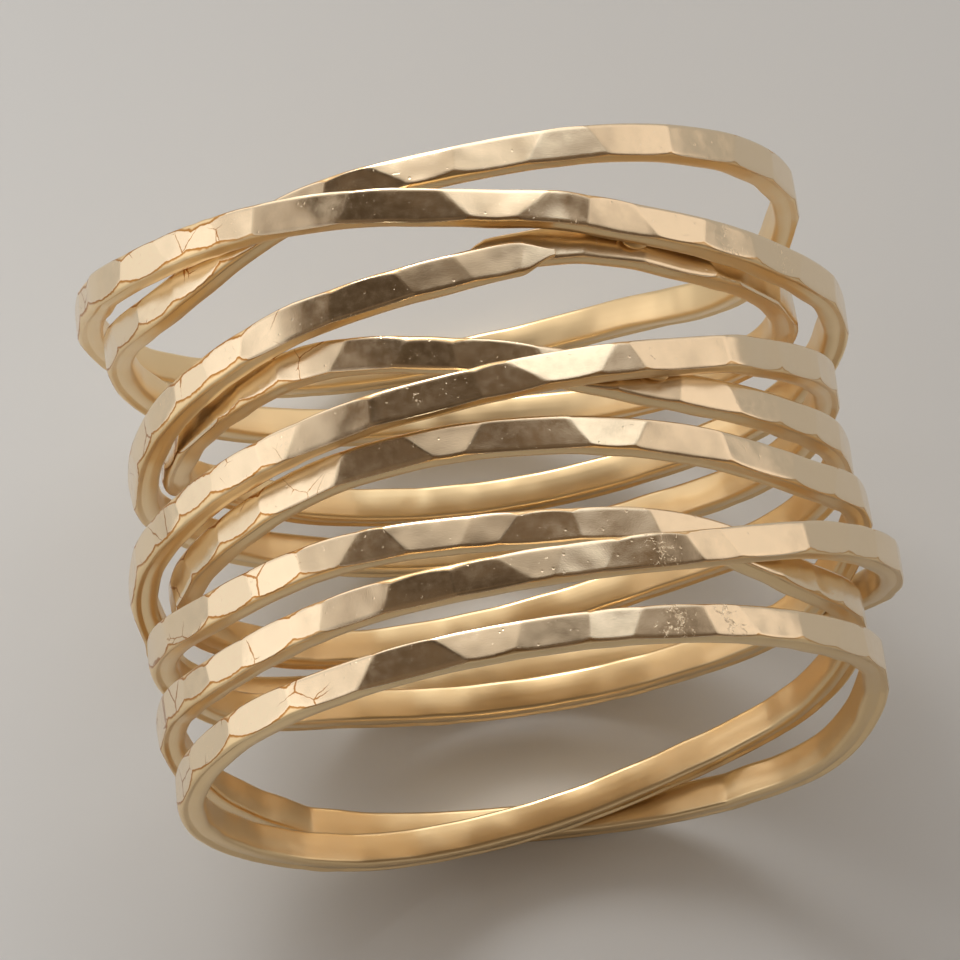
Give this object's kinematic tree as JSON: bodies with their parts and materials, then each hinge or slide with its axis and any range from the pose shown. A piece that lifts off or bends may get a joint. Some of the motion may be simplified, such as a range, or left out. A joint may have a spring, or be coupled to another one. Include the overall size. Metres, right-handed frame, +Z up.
{
  "type": "wire wrap ring",
  "caption": "Finger ring of one hammered gold-coloured wire wound round the finger in loose crossing turns, tacked with solder where they touch.",
  "frame": {"origin": "under the middle of the ring, on the surface that it lies on", "axes": "+Y along the finger, from the near side to the far side; +Z up from the surface; +X to the right"},
  "size_m": [0.0216, 0.016, 0.02],
  "materials": {
    "gold": "polished yellow gold wire, hammered on the outside, smooth on the inside"
  },
  "bodies": {
    "root": {"wire": "gold"}
  },
  "joints": []
}
